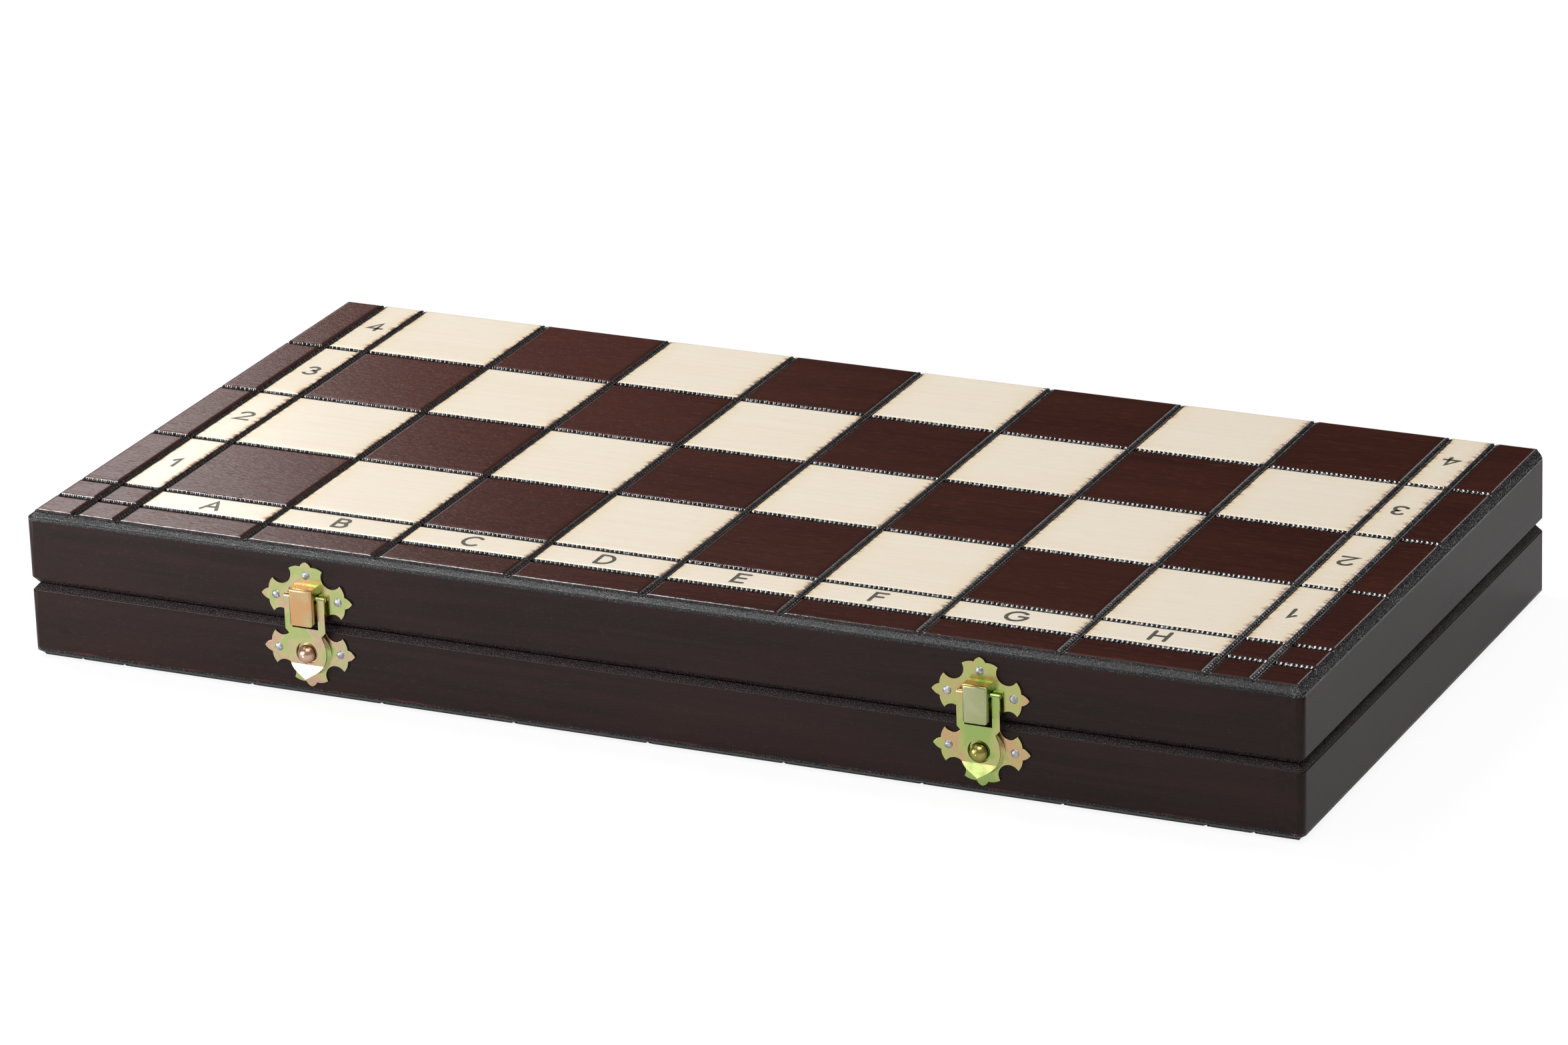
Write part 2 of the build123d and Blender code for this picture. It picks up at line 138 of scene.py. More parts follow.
class Shader:
    """One material, with its nodes written as formulas of the point's own place on the object."""

    def __init__(self, name, **constants):
        self.material = bpy.data.materials.new(name)
        self.material.use_nodes = True
        self.tree = self.material.node_tree
        self.surface = self.tree.nodes["Principled BSDF"]
        self.point = self.node("TexCoord", output=3)
        self.x, self.y, self.z = self.split(self.point)
        for socket, value in constants.items():
            self.surface.inputs[socket.replace("_", " ")].default_value = value

    def feed(self, socket, value):
        if isinstance(value, bpy.types.NodeSocket):
            self.tree.links.new(value, socket)
        elif value is not None:
            socket.default_value = value

    def set(self, socket, value):
        self.feed(self.surface.inputs[socket], value)

    def node(self, kind, *values, output=0, **settings):
        node = self.tree.nodes.new("ShaderNode" + kind)
        for key, value in settings.items():
            setattr(node, key, value)
        for socket, value in zip(node.inputs, values):
            self.feed(socket, value)
        return node.outputs[output]

    def split(self, vector):
        node = self.tree.nodes.new("ShaderNodeSeparateXYZ")
        self.feed(node.inputs[0], vector)
        return node.outputs

    def math(self, operation, *values):
        return self.node("Math", *values, operation=operation)

    def distance(self, a, b):
        return self.math("ABSOLUTE", self.math("SUBTRACT", a, b))

    def spread(self, value, low, high, to_low=0.0, to_high=1.0):
        """value from low to high, eased to run from to_low to to_high and held at both ends."""
        return self.node("MapRange", value, low, high, to_low, to_high, interpolation_type="SMOOTHSTEP")

    def blend(self, factor, a, b):
        """Number a where factor is 0, number b where it is 1."""
        return self.node("Mix", factor, None, a, b)

    def scaled(self, x, y, z):
        return self.node("VectorMath", self.point, (x, y, z), operation="MULTIPLY")

    def noise(self, vector, scale=1.0, detail=3.0, roughness=0.5, distortion=0.0):
        node = self.tree.nodes.new("ShaderNodeTexNoise")
        self.feed(node.inputs["Vector"], vector)
        node.inputs["Scale"].default_value = scale
        node.inputs["Detail"].default_value = detail
        node.inputs["Roughness"].default_value = roughness
        node.inputs["Distortion"].default_value = distortion
        return node.outputs[0]

    def mix(self, factor, a, b):
        """Colour a where factor is 0, colour b where it is 1."""
        node = self.tree.nodes.new("ShaderNodeMix")
        node.data_type = "RGBA"
        for index, value in ((0, factor), (6, a), (7, b)):
            if isinstance(value, tuple):
                value = (*value, 1)
            self.feed(node.inputs[index], value)
        return node.outputs[2]

    def tinted(self, colour, tint, factor, strength):
        """colour with a tint laid over it where factor is 1, as strongly as strength says."""
        return self.mix(self.math("MULTIPLY", factor, strength), colour, tint)

    def bump(self, height, distance, strength=1.0, under=None):
        """A bump whose height runs to distance in metres, laid over another one."""
        node = self.tree.nodes.new("ShaderNodeBump")
        node.inputs["Strength"].default_value = strength
        node.inputs["Distance"].default_value = distance
        self.feed(node.inputs["Height"], height)
        self.feed(node.inputs["Normal"], under)
        return node.outputs[0]


def board_places(s, half):
    """Distances to the long and cross grooves, masks of the files and light parts, a tint for each cell."""
    across = s.math("ABSOLUTE", s.x)
    up = s.math("SUBTRACT", s.y, first_rank_y)
    to_long = s.math("MINIMUM", s.math("PINGPONG", s.x, square / 2), s.distance(across, side_line))
    to_rank = s.math("PINGPONG", up, square / 2)
    to_letters = s.distance(s.y, letter_line)
    past_last = s.math("GREATER_THAN", s.y, back_y - square / 4)
    nearest = s.math("MINIMUM", to_rank, to_letters)
    to_cross = s.math("ADD", nearest, s.math("MULTIPLY", past_last, square))

    in_files = s.math("LESS_THAN", across, board_half)
    in_sides = s.math("LESS_THAN", across, side_line)
    in_ranks = s.math("GREATER_THAN", up, 0)
    in_letters = s.math("GREATER_THAN", s.y, letter_line)
    column = s.math("FLOOR", s.math("DIVIDE", s.x, square))
    row = s.math("FLOOR", s.math("DIVIDE", up, square))
    odd = s.math("PINGPONG", s.math("ADD", s.math("ADD", column, row), 0 if half == "lid" else 1), 1)
    squares = s.math("MULTIPLY", s.math("MULTIPLY", in_files, in_ranks), odd)
    numbers = s.math("MULTIPLY", s.math("SUBTRACT", in_sides, in_files), in_ranks)
    letters = s.math("MULTIPLY", in_files, s.math("SUBTRACT", in_letters, in_ranks))
    light = s.math("ADD", s.math("ADD", squares, numbers), letters)
    tint = s.node("TexWhiteNoise", s.node("CombineXYZ", column, row, tint_seed))
    return to_long, to_cross, in_files, light, tint


def stained_wood(s, half, streaks, broad, tint, to_long):
    """Dark stain, painted lighter towards the left as painted light, that pools beside the long grooves."""
    dark, brown = (0.025, 0.0042, 0.0019), (0.050, 0.0090, 0.0040)
    cloud, open_grain, deep = (0.064, 0.0145, 0.0065), (0.125, 0.033, 0.018), (0.026, 0.0048, 0.0025)
    # thin is the lighter colour of the painted light at the left end; pooled is the stain beside the
    # grooves
    thin, pooled = (0.105, 0.021, 0.011), (0.012, 0.0030, 0.0020)
    left_painted_light_share = 0.5 if half == "lid" else 0.15
    left_painted_light_end = 50 * mm
    pool_width = 4 * mm

    dashes = s.spread(s.noise(s.scaled(170, 1700, 300), detail=1), 0.62, 0.7)
    stain = s.mix(s.spread(streaks, 0.3, 0.72), dark, brown)
    stain = s.tinted(stain, cloud, s.spread(broad, 0.35, 0.7), 0.45)
    stain = s.tinted(stain, open_grain, dashes, 0.4)
    stain = s.tinted(stain, deep, tint, 0.3)
    # painted light: the stain is painted lighter towards the left end, most on the lid
    stain = s.mix(s.spread(s.x, -half_length, left_painted_light_end, left_painted_light_share, 0.0), stain, thin)
    return s.mix(s.spread(to_long, groove_paint_half, pool_width, 0.45, 0.0), stain, pooled)


def pale_wood(s, streaks, broad, pores, in_files, to_long):
    """Natural wood, yellowed towards the long grooves and scorched in licks, most at its right end."""
    early, late, cloud = (0.925, 0.830, 0.700), (0.890, 0.780, 0.630), (0.895, 0.790, 0.620)
    pore, yellowed = (0.66, 0.49, 0.29), (0.86, 0.70, 0.44)
    left_singe, right_singe = (0.62, 0.38, 0.15), (0.36, 0.115, 0.04)
    left_char, right_char = (0.09, 0.036, 0.016), (0.05, 0.011, 0.006)

    pale = s.mix(s.spread(streaks, 0.3, 0.75), early, late)
    pale = s.tinted(pale, cloud, s.spread(broad, 0.4, 0.75), 0.35)
    pale = s.tinted(pale, pore, pores, 0.2)
    pale = s.mix(s.spread(to_long, 1 * mm, 8 * mm, 0.35, 0.0), pale, yellowed)
    past_middle = s.math("GREATER_THAN", s.math("FRACT", s.math("DIVIDE", s.x, square)), 0.5)
    strip_middle = s.math("MULTIPLY", s.math("SIGN", s.x), board_half + strip_width / 2)
    right_end = s.blend(in_files, s.math("GREATER_THAN", s.x, strip_middle), past_middle)
    licks = s.noise(s.scaled(26, 760, 90), detail=3, roughness=0.6)
    reach = s.spread(licks, 0.36, 0.72, 0.35 * mm, 3.2 * mm)
    past = s.math("DIVIDE", s.math("SUBTRACT", to_long, groove_paint_half), reach)
    singe = s.mix(right_end, left_singe, right_singe)
    pale = s.tinted(pale, singe, s.spread(past, 0.0, 1.0, 1.0, 0.0), 0.72)
    char = s.mix(right_end, left_char, right_char)
    return s.mix(s.spread(past, 0.0, 0.4, 0.95, 0.0), pale, char)


def board_material(half):
    """Natural and stained squares with black grooves between them, under clear lacquer."""
    groove_black, bare_wood = (0.007, 0.0055, 0.0055), (0.45, 0.27, 0.13)
    s = Shader(
        f"{half}_board", Roughness=0.45, Specular_IOR_Level=0.15, Coat_Weight=1.0, Coat_Roughness=0.1,
    )
    to_long, to_cross, in_files, light, tint = board_places(s, half)
    streaks = s.noise(s.scaled(16, 700, 60), detail=6, roughness=0.65, distortion=0.2)
    broad = s.noise(s.scaled(7, 55, 20), detail=3)
    pores = s.spread(s.noise(s.scaled(260, 3000, 600), detail=2, roughness=0.6), 0.6, 0.72)
    stain = stained_wood(s, half, streaks, broad, tint, to_long)
    pale = pale_wood(s, streaks, broad, pores, in_files, to_long)

    wobble = s.math("MULTIPLY", s.noise(s.point, scale=500, detail=2), 0.5 * mm)
    ragged_long = s.math("ADD", to_long, wobble)
    ragged_cross = s.math("ADD", to_cross, wobble)
    dark_long = s.spread(ragged_long, groove_paint_half + 0.1 * mm, groove_paint_half + 0.5 * mm, 1, 0)
    dark_cross = s.spread(ragged_cross, groove_paint_half, groove_paint_half + 0.35 * mm, 1, 0)
    depth = s.math("SUBTRACT", lid_top, s.z) if half == "lid" else s.z
    inside = s.spread(depth, panel_thickness - 0.15 * mm, panel_thickness - 0.05 * mm)
    sawn_face = s.spread(s.y, back_y - 0.4 * mm, back_y - 0.15 * mm)
    colour = s.mix(light, stain, pale)
    colour = s.mix(s.math("MAXIMUM", dark_long, dark_cross), colour, groove_black)
    colour = s.mix(sawn_face, colour, stain)
    s.set("Base Color", s.mix(inside, colour, bare_wood))

    grain = s.math("ADD", streaks, s.math("MULTIPLY", pores, -0.7))
    s.set("Normal", s.bump(grain, 0.05 * mm, 0.6))
    fine = s.noise(s.scaled(520, 2500, 900), detail=2, roughness=0.6)
    lacquer = s.math("ADD", s.math("MULTIPLY", grain, 0.5), fine)
    s.set("Coat Normal", s.bump(s.math("MULTIPLY", lacquer, s.blend(light, 1.0, 0.35)), 0.042 * mm))
    return s.material


def rough_edge_material():
    """The routed and scorched outer edge of a panel: torn fibres soaked with black stain, whose pale flecks
    are partly painted glints and are paler at the panel's two ends as a painted reflection.
    """
    black, front_flecks_and_glints, end_flecks_painted_sheen = (0.003, 0.0028, 0.0034), (0.12, 0.115, 0.12), (0.30, 0.29, 0.30)
    s = Shader("scorched_edge_painted_sheen", Specular_IOR_Level=0.32)
    fibres = s.noise(s.scaled(700, 1100, 1100), detail=5, roughness=0.75)
    clumps = s.noise(s.point, scale=160, detail=3, roughness=0.6)
    flecks = s.noise(s.point, scale=3200, detail=2, roughness=0.7)
    # painted reflection: the bevels at the panel's two ends get paler flecks than the front; everywhere the
    # pale flecks are torn fibres and painted glints
    ends_with_painted_sheen = s.math("GREATER_THAN", s.math("ABSOLUTE", s.x), half_length - bevel_width * mm)
    torn_edge_and_painted_sheen = s.mix(ends_with_painted_sheen, front_flecks_and_glints, end_flecks_painted_sheen)
    s.set("Base Color", s.mix(s.spread(flecks, 0.54, 0.66), black, torn_edge_and_painted_sheen))
    s.set("Roughness", s.spread(clumps, 0.35, 0.7, 0.2, 0.38))
    s.set("Normal", s.bump(s.math("ADD", fibres, s.math("MULTIPLY", clumps, 0.4)), 0.13 * mm))
    return s.material


def groove_material():
    """The wheel's marks: scorched wood under black lacquer."""
    black, brown = (0.004, 0.004, 0.0045), (0.022, 0.015, 0.012)
    s = Shader("groove_black", Roughness=0.2, Specular_IOR_Level=1.0)
    soot = s.noise(s.point, scale=700, detail=3, roughness=0.65)
    s.set("Base Color", s.mix(s.spread(soot, 0.35, 0.75), black, brown))
    s.set("Normal", s.bump(s.noise(s.point, scale=2600, detail=2), 0.04 * mm, 0.7))
    return s.material


def rail_material():
    """Dark stained hardwood with open pores, lacquered satin, worn by the panel and torn at the rim."""
    dark, brown = (0.0100, 0.0033, 0.0028), (0.0200, 0.0066, 0.0053)
    cloud_brown, pore_brown, worn_red = (0.032, 0.0090, 0.0062), (0.085, 0.036, 0.030), (0.17, 0.030, 0.022)
    torn_black, torn_flecks = (0.007, 0.0042, 0.0045), (0.115, 0.078, 0.077)
    s = Shader("frame_stain", Specular_IOR_Level=0.23)
    inner_x = half_length - rail_thickness + 0.1 * mm
    along_y = s.math("GREATER_THAN", s.math("ABSOLUTE", s.x), inner_x)
    lengthwise = s.noise(s.scaled(9, 420, 400), detail=5, roughness=0.62, distortion=0.3)
    crosswise = s.noise(s.scaled(420, 9, 400), detail=5, roughness=0.62, distortion=0.3)
    streaks = s.blend(along_y, lengthwise, crosswise)
    long_pores = s.noise(s.scaled(520, 6000, 6000), detail=1)
    cross_pores = s.noise(s.scaled(6000, 520, 6000), detail=1)
    pores = s.spread(s.blend(along_y, long_pores, cross_pores), 0.67, 0.75)
    cloud = s.noise(s.scaled(14, 30, 60), detail=3)
    worn = s.spread(s.noise(s.scaled(60, 60, 900), detail=3), 0.5, 0.6)
    by_panel = s.spread(s.z, panel_thickness, panel_thickness + 0.5 * mm, 0.8, 0.0)
    colour = s.mix(s.spread(streaks, 0.3, 0.75), dark, brown)
    colour = s.tinted(colour, cloud_brown, s.spread(cloud, 0.42, 0.72), 0.5)
    colour = s.tinted(colour, pore_brown, pores, 0.3)
    colour = s.tinted(colour, worn_red, by_panel, worn)

    torn = s.spread(s.distance(s.z, lid_top / 2), rim_bevel - 0.2 * mm, rim_bevel, 1.0, 0.0)
    fibres = s.noise(s.point, scale=3200, detail=2, roughness=0.7)
    flecks = s.mix(s.spread(fibres, 0.48, 0.66), torn_black, torn_flecks)
    s.set("Base Color", s.mix(torn, colour, flecks))
    s.set("Roughness", s.blend(torn, 0.38, 0.24))
    sanded = s.bump(s.math("SUBTRACT", streaks, s.math("MULTIPLY", pores, 0.8)), 0.035 * mm, 0.45)
    s.set("Normal", s.bump(s.math("MULTIPLY", fibres, torn), 0.2 * mm, 1.0, sanded))
    return s.material


def felt_material():
    """Short dense green felt, with a nap that lies in patches."""
    dark, green, patch_green = (0.010, 0.060, 0.026), (0.022, 0.112, 0.052), (0.032, 0.14, 0.07)
    s = Shader(
        "green_felt", Roughness=0.95, Specular_IOR_Level=0.15, Sheen_Weight=0.55, Sheen_Roughness=0.45,
    )
    nap = s.noise(s.scaled(300, 300, 300), detail=4, roughness=0.7)
    fibres = s.noise(s.point, scale=2400, detail=2, roughness=0.7)
    patches = s.noise(s.point, scale=35, detail=3)
    colour = s.mix(s.spread(nap, 0.3, 0.7), dark, green)
    s.set("Base Color", s.tinted(colour, patch_green, s.spread(patches, 0.4, 0.7), 0.35))
    s.set("Normal", s.bump(s.math("ADD", fibres, nap), 0.25 * mm, 0.7))
    return s.material


def plating_material(name, tones, roughness, scale=70.0, middle=None, housing=None):
    """Bright metal whose thin plating drifts from each tint to the next.

    With a middle, the later tints come more towards the plate's two ends. housing holds the two tints
    of a latch housing's front and the browner one of its top, which is painted shade on its up-facing
    faces.
    """
    half_plate = 15 * mm
    first_turn, turns, turn_width = 0.36, 0.26, 0.12
    smudge_tint = (0.34, 0.28, 0.15)
    s = Shader(name, Metallic=1.0)
    drift = s.noise(s.point, scale=scale, detail=1.5, roughness=0.45, distortion=0.6)
    if middle is not None:
        reach = s.math("DIVIDE", s.distance(s.x, middle), half_plate)
        drift = s.math("ADD", drift, s.math("MULTIPLY", s.math("SUBTRACT", reach, 0.45), 0.16))
    colour = tones[0]
    for place, tone in enumerate(tones[1:], 1):
        start = first_turn + turns * (place - 1) / (len(tones) - 1)
        colour = s.mix(s.spread(drift, start, start + turn_width), colour, tone)
    if housing is not None:
        front_tint, other_front_tint, top_shade_tint = housing
        front = s.mix(s.spread(drift, 0.38, 0.62), front_tint, other_front_tint)
        at_the_front = s.spread(s.y, front_y - 2.4 * mm, front_y - 1.6 * mm, 1.0, 0.0)
        colour = s.mix(at_the_front, colour, front)
        # painted shade: the housing's up-facing faces are tinted browner, by which way they point
        up_faces_shade = s.spread(s.split(s.node("TexCoord", output=1))[2], 0.5, 0.85)
        proud = s.spread(s.y, front_y - 1.5 * mm, front_y - 1.1 * mm, 1.0, 0.0)
        colour = s.tinted(colour, top_shade_tint, up_faces_shade, proud)
    smudge = s.noise(s.point, scale=420, detail=4, roughness=0.65)
    s.set("Base Color", s.mix(s.spread(smudge, 0.55, 0.85, 0.0, 0.2), colour, smudge_tint))
    s.set("Roughness", s.spread(smudge, 0.35, 0.75, roughness - 0.04, roughness + 0.1))
    rolled = s.noise(s.scaled(180, 700, 900), detail=2, roughness=0.5)
    s.set("Normal", s.bump(s.math("ADD", rolled, s.math("MULTIPLY", smudge, 0.3)), 0.01 * mm, 0.3))
    return s.material


def nail_material():
    """Dull zinc on a nail head that the hammer has dented, painted darker in the dents as painted shade."""
    grey, bright = (0.30, 0.31, 0.34), (0.62, 0.64, 0.68)
    s = Shader("nail_zinc", Metallic=1.0)
    dents = s.noise(s.point, scale=1300, detail=2, roughness=0.55)
    dull = s.noise(s.point, scale=3000, detail=3, roughness=0.7)
    # painted shade: the zinc is grey where the dents sink and bright where they rise
    s.set("Base Color", s.mix(s.spread(dents, 0.35, 0.65), grey, bright))
    s.set("Roughness", s.spread(dull, 0.3, 0.7, 0.3, 0.5))
    s.set("Normal", s.bump(s.math("ADD", dents, s.math("MULTIPLY", dull, 0.2)), 0.3 * mm))
    return s.material


def ink_material():
    """Thin grey-brown stamping ink that lets a little of the grain through."""
    full, worn = (0.06, 0.056, 0.042), (0.145, 0.135, 0.10)
    s = Shader("stamp_ink", Roughness=0.5, Coat_Weight=0.5, Coat_Roughness=0.2)
    wear = s.noise(s.scaled(300, 1500, 300), detail=4, roughness=0.65)
    s.set("Base Color", s.mix(s.spread(wear, 0.35, 0.75), full, worn))
    s.set("Normal", s.bump(wear, 0.02 * mm, 0.4))
    return s.material


# ------------------------------------------------------------------ meshes


def placed(name, data):
    """A new object of the scene that holds that data."""
    thing = bpy.data.objects.new(name, data)
    bpy.context.scene.collection.objects.link(thing)
    return thing


def mesh_of(name, vertices, faces):
    mesh = bpy.data.meshes.new(name)
    mesh.from_pydata(vertices, [], faces)
    return mesh


def mesh_from(name, shell):
    """The mesh of a bmesh, which ends with this."""
    mesh = bpy.data.meshes.new(name)
    shell.to_mesh(mesh)
    shell.free()
    return mesh


def add_piece(mesh, materials, body, stands_for=(), smooth_angle=35):
    """A mesh piece of the object that moves with a body, smooth but for its sharp edges."""
    piece = placed(mesh.name, mesh)
    for material in materials:
        mesh.materials.append(material)
    mesh.shade_smooth()
    mesh.set_sharp_from_angle(angle=math.radians(smooth_angle))
    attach(piece, body)
    if stands_for:
        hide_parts(*stands_for)
    return piece


def on_board(half, x, y, depth):
    """A point that lies that deep below the outer face of the lid or the base."""
    return (x, y, lid_top - depth if half == "lid" else depth)


def stations(lines, start, end, start_section, end_section):
    """Rows of (place, depth) across a panel: its first edge, each groove line and its last edge."""
    rows = [(start + d * mm, depth * mm) for d, depth in reversed(start_section)]
    for line in lines:
        rows += [(line - d * mm, depth * mm) for d, depth in reversed(groove_section)]
        rows += [(line + d * mm, depth * mm) for d, depth in groove_section[1:]]
    rows += [(end - d * mm, depth * mm) for d, depth in end_section]
    return rows


def round_corner(x, y):
    """Moves a point of a square corner onto a quarter disc, to round the box's upright corners."""
    across = abs(x) - (half_length - corner_radius)
    ahead = max((front_y + corner_radius) - y, y - (back_y - corner_radius))
    if across <= 0 or ahead <= 0:
        return x, y
    reach = max(across, ahead)
    if across >= ahead:
        turn = math.pi / 4 * (ahead / across)
    else:
        turn = math.pi / 2 - math.pi / 4 * (across / ahead)
    new_x = half_length - corner_radius + reach * math.cos(turn)
    new_y = corner_radius - reach * math.sin(turn)
    return math.copysign(new_x, x), (front_y + new_y if y < 0 else back_y - new_y)


def make_board(half, wood, torn_edge_and_painted_sheen):
    """An outer panel as one closed mesh, with rounded-over grooves and a bevelled, torn rim."""
    columns = stations(long_grooves, -half_length, half_length, bevel_section, bevel_section)
    rows = stations(cross_grooves, front_y, back_y, bevel_section, back_section)
    shell = bmesh.new()
    grid = []
    for y, row_depth in rows:
        line = []
        for x, column_depth in columns:
            depth = max(row_depth, column_depth)
            line.append(shell.verts.new(on_board(half, *round_corner(x, y), depth)))
        grid.append(line)
    rim = len([depth for _, depth in bevel_section if depth > routed_depth]) - 1
    last_rim = len(columns) - 1 - rim
    for j in range(len(rows) - 1):
        for i in range(len(columns) - 1):
            face = shell.faces.new((grid[j][i], grid[j][i + 1], grid[j + 1][i + 1], grid[j + 1][i]))
            face.material_index = 1 if j < rim or i < rim or i >= last_rim else 0
    bmesh.ops.remove_doubles(shell, verts=shell.verts, dist=0.5e-6)
    bmesh.ops.dissolve_degenerate(shell, edges=shell.edges, dist=0.5e-6)
    open_edges = [e for e in shell.edges if e.is_boundary]
    bmesh.ops.holes_fill(shell, edges=open_edges, sides=0)
    bmesh.ops.recalc_face_normals(shell, faces=shell.faces)
    mesh = mesh_from(f"{half}_board", shell)
    add_piece(mesh, [wood, torn_edge_and_painted_sheen], half, [f"{half}_panel"], 40)


def rim_depth(distance):
    """How far a bevelled edge has dropped, that far in from the side of the box."""
    for (inner, inner_depth), (outer, outer_depth) in zip(bevel_section, bevel_section[1:]):
        if outer * mm <= distance < inner * mm:
            share = (distance / mm - outer) / (inner - outer)
            return (outer_depth + (inner_depth - outer_depth) * share) * mm
    return 0.0


def crossing_depth(along, crossed):
    """How deep a cross groove's marks have to lie so that the long grooves break them."""
    depth = 0.0
    for line in crossed:
        gap = abs(along - line)
        if gap < groove_half:
            depth = groove_depth * (1 - gap / groove_half) + crossing_gap
    return depth


def tooth_strip(place, start, end, rims, crossed, chance):
    """One knurled strip in a groove, as its vertices and faces.

    place(along, across, depth) puts its points on the board, and rims holds the strip's ends that run
    out over a bevelled rim.
    """
    count = max(2, round((end - start) / tooth_pitch)) * tooth_steps
    wall = math.hypot(groove_half, groove_depth)
    vertices = []
    for n in range(count + 1):
        along = start + (end - start) * n / count
        drop = max(rim_depth(abs(along - rim) + marks_inset) for rim in rims)
        squeeze = 1 - min(drop / groove_depth, 0.97)
        cut = crossing_depth(along, crossed)
        for side, down in tooth_walls:
            across = side * groove_paint_half * (1 - down) * squeeze
            depth = groove_depth * (1 - abs(across) / groove_half)
            turn = math.tau * (n / tooth_steps + (0.5 if side > 0 else 0))
            swell = tooth_height * (0.5 + 0.5 * math.cos(turn)) * chance.uniform(0.85, 1.1) * squeeze
            swell *= swell_shares[down]
            depth = max(depth - marks_lift - swell * groove_half / wall, cut)
            across -= side * swell * groove_depth / wall
            lean = tooth_slant * down * tooth_pitch * (1 if side < 0 else -1) * squeeze
            lean = max(start - along, min(end - along, lean))
            vertices.append(place(along + lean, across, depth))
    width = len(tooth_walls)
    corners = [n * width + k for n in range(count) for k in range(width - 1)]
    return vertices, [(a, a + 1, a + width + 1, a + width) for a in corners]


def long_place(half, x):
    """Puts points of a strip that runs from front to back onto the board."""
    return lambda along, across, depth: on_board(half, x + across, along, depth)


def cross_place(half, y):
    """Puts points of a strip that runs from left to right onto the board."""
    return lambda along, across, depth: on_board(half, along, y - across, depth)


def make_teeth(half, material):
    """All knurled strips of one panel: the long ones run through, the cross ones are broken by them."""
    chance = random.Random(8)
    front_end = front_y + marks_inset
    back_end = back_y - marks_back_gap
    side_end = half_length - marks_inset
    sides = [-side_end, side_end]
    strips = []
    for x in long_grooves:
        strips.append(tooth_strip(long_place(half, x), front_end, back_end, [front_end], [], chance))
    for y in cross_grooves:
        strips.append(tooth_strip(cross_place(half, y), *sides, sides, long_grooves, chance))
    vertices, faces = [], []
    for points, quads in strips:
        base = len(vertices)
        vertices += points
        faces += [tuple(base + i for i in quad) for quad in quads]
    if half == "base":
        faces = [tuple(reversed(quad)) for quad in faces]
    add_piece(mesh_of(f"{half}_groove_marks", vertices, faces), [material], half, (), 60)


# ------------------------------------------------------------------ letters and numbers


def arc(x, y, rx, ry, start, end):
    """Points of an elliptical arc round (x, y), from one angle to another in degrees."""
    steps = max(2, round(abs(end - start) / 14))
    angles = [math.radians(start + (end - start) * n / steps) for n in range(steps + 1)]
    return [(x + rx * math.cos(a), y + ry * math.sin(a)) for a in angles]


# Strokes in a box 1 high, with x from the glyph's middle.
glyphs = {
    "A": [[(-0.42, 0), (0, 1), (0.42, 0)], [(-0.27, 0.33), (0.27, 0.33)]],
    "B": [
        [(-0.3, 0), (-0.3, 1)],
        [(-0.3, 1)] + arc(0.02, 0.77, 0.24, 0.23, 90, -90) + [(-0.3, 0.54)],
        [(-0.3, 0.54)] + arc(0.04, 0.27, 0.28, 0.27, 90, -90) + [(-0.3, 0)],
    ],
    "C": [arc(0.02, 0.5, 0.46, 0.52, 48, 312)],
    "D": [[(-0.36, 1), (-0.36, 0)], [(-0.36, 1)] + arc(-0.08, 0.5, 0.46, 0.5, 90, -90) + [(-0.36, 0)]],
    "E": [[(0.28, 1), (-0.28, 1), (-0.28, 0), (0.28, 0)], [(-0.28, 0.52), (0.22, 0.52)]],
    "F": [[(0.28, 1), (-0.26, 1), (-0.26, 0)], [(-0.26, 0.54), (0.2, 0.54)]],
    "G": [arc(-0.04, 0.5, 0.5, 0.52, 46, 350) + [(0.46, 0.5)], [(0.08, 0.5), (0.46, 0.5)]],
    "H": [[(-0.36, 0), (-0.36, 1)], [(0.36, 0), (0.36, 1)], [(-0.36, 0.5), (0.36, 0.5)]],
    "1": [[(-0.2, 0.74), (0.06, 1), (0.06, 0)]],
    "2": [arc(0.02, 0.72, 0.32, 0.28, 165, -28) + [(-0.36, 0), (0.38, 0)]],
    "3": [arc(0, 0.76, 0.26, 0.24, 150, -80) + arc(0, 0.27, 0.31, 0.27, 80, -150)],
    "4": [[(0.12, 0), (0.12, 1), (-0.36, 0.3), (0.38, 0.3)]],
    "5": [[(0.3, 1), (-0.22, 1), (-0.27, 0.56)] + arc(0, 0.31, 0.33, 0.31, 125, -140)],
    "6": [[(0.14, 1), (-0.2, 0.52)], arc(0, 0.3, 0.31, 0.3, 0, 360)],
    "7": [[(-0.33, 1), (0.34, 1), (-0.1, 0)]],
    "8": [arc(0, 0.76, 0.25, 0.24, 0, 360), arc(0, 0.27, 0.31, 0.27, 0, 360)],
}


